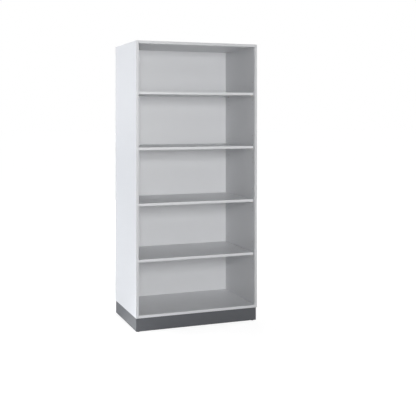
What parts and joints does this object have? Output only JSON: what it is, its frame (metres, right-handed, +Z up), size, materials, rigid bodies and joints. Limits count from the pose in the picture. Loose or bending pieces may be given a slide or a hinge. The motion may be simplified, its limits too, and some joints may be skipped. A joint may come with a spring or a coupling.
{
  "type": "laboratory shelf unit",
  "caption": "Tall open laboratory shelf unit: light grey board carcass with back panel, loose shelves on supports, dark steel plinth and levelling feet.",
  "frame": {"origin": "on the floor under the middle of the unit", "axes": "+Z up, +X to the right seen from the front, the open front faces -Y"},
  "size_m": [0.9, 0.57, 1.99],
  "materials": {
    "melamine_board": "chipboard faced with light grey melamine, fine pearl texture, satin",
    "abs_edging": "light grey ABS edging, satin, milled round",
    "powder_coated_steel": "anthracite powder coat, fine texture, satin",
    "nickel_plated_steel": "nickel plated, satin",
    "zinc_plated_steel": "zinc plated, satin",
    "beech_dowel": "raw fluted beech",
    "black_polyamide": "moulded black polyamide"
  },
  "bodies": {
    "carcass": {"side_panel_left": "melamine_board", "side_panel_right": "melamine_board", "top_panel": "melamine_board", "bottom_panel": "melamine_board", "back_panel": "melamine_board", "side_edging_left": "abs_edging", "side_edging_right": "abs_edging", "top_edging": "abs_edging", "bottom_edging": "abs_edging", "plinth_front": "powder_coated_steel", "plinth_rear": "powder_coated_steel", "plinth_left": "powder_coated_steel", "plinth_right": "powder_coated_steel", "plinth_corner_plates": "powder_coated_steel", "shelf_supports_1": "nickel_plated_steel", "shelf_supports_2": "nickel_plated_steel", "shelf_supports_3": "nickel_plated_steel", "shelf_supports_4": "nickel_plated_steel", "plinth_weld_nuts": "zinc_plated_steel", "plinth_screws": "zinc_plated_steel", "carcass_dowels": "beech_dowel"},
    "shelf_1": {"shelf_1": "melamine_board", "shelf_edging_1": "abs_edging"},
    "shelf_2": {"shelf_2": "melamine_board", "shelf_edging_2": "abs_edging"},
    "shelf_3": {"shelf_3": "melamine_board", "shelf_edging_3": "abs_edging"},
    "shelf_4": {"shelf_4": "melamine_board", "shelf_edging_4": "abs_edging"},
    "foot_pad_1": {"foot_pad_1": "black_polyamide"},
    "foot_pad_2": {"foot_pad_2": "black_polyamide"},
    "foot_pad_3": {"foot_pad_3": "black_polyamide"},
    "foot_pad_4": {"foot_pad_4": "black_polyamide"},
    "foot_spindle_1": {"foot_spindle_1": "zinc_plated_steel"},
    "foot_spindle_2": {"foot_spindle_2": "zinc_plated_steel"},
    "foot_spindle_3": {"foot_spindle_3": "zinc_plated_steel"},
    "foot_spindle_4": {"foot_spindle_4": "zinc_plated_steel"}
  },
  "joints": [
    {"name": "shelf_1_pull_out", "type": "slide", "parent": "carcass", "child": "shelf_1", "axis": [0, -1, 0], "range_m": [0, 0.6]},
    {"name": "shelf_2_pull_out", "type": "slide", "parent": "carcass", "child": "shelf_2", "axis": [0, -1, 0], "range_m": [0, 0.6]},
    {"name": "shelf_3_pull_out", "type": "slide", "parent": "carcass", "child": "shelf_3", "axis": [0, -1, 0], "range_m": [0, 0.6]},
    {"name": "shelf_4_pull_out", "type": "slide", "parent": "carcass", "child": "shelf_4", "axis": [0, -1, 0], "range_m": [0, 0.6]},
    {"name": "foot_1_height", "type": "slide", "parent": "carcass", "child": "foot_pad_1", "axis": [0, 0, 1], "range_m": [-0.015, 0.005]},
    {"name": "foot_1_turn", "type": "hinge", "parent": "foot_pad_1", "child": "foot_spindle_1", "pos_m": [-0.4265, -0.253, 0], "axis": [0, 0, 1], "range_deg": [-3600, 1200]},
    {"name": "foot_2_height", "type": "slide", "parent": "carcass", "child": "foot_pad_2", "axis": [0, 0, 1], "range_m": [-0.015, 0.005]},
    {"name": "foot_2_turn", "type": "hinge", "parent": "foot_pad_2", "child": "foot_spindle_2", "pos_m": [0.4265, -0.253, 0], "axis": [0, 0, 1], "range_deg": [-3600, 1200]},
    {"name": "foot_3_height", "type": "slide", "parent": "carcass", "child": "foot_pad_3", "axis": [0, 0, 1], "range_m": [-0.015, 0.005]},
    {"name": "foot_3_turn", "type": "hinge", "parent": "foot_pad_3", "child": "foot_spindle_3", "pos_m": [-0.4265, 0.265, 0], "axis": [0, 0, 1], "range_deg": [-3600, 1200]},
    {"name": "foot_4_height", "type": "slide", "parent": "carcass", "child": "foot_pad_4", "axis": [0, 0, 1], "range_m": [-0.015, 0.005]},
    {"name": "foot_4_turn", "type": "hinge", "parent": "foot_pad_4", "child": "foot_spindle_4", "pos_m": [0.4265, 0.265, 0], "axis": [0, 0, 1], "range_deg": [-3600, 1200]}
  ],
  "couplings": [
    {"joint": "foot_1_turn", "follows": "foot_1_height", "rad_per_m": 4188.8},
    {"joint": "foot_2_turn", "follows": "foot_2_height", "rad_per_m": 4188.8},
    {"joint": "foot_3_turn", "follows": "foot_3_height", "rad_per_m": 4188.8},
    {"joint": "foot_4_turn", "follows": "foot_4_height", "rad_per_m": 4188.8}
  ]
}
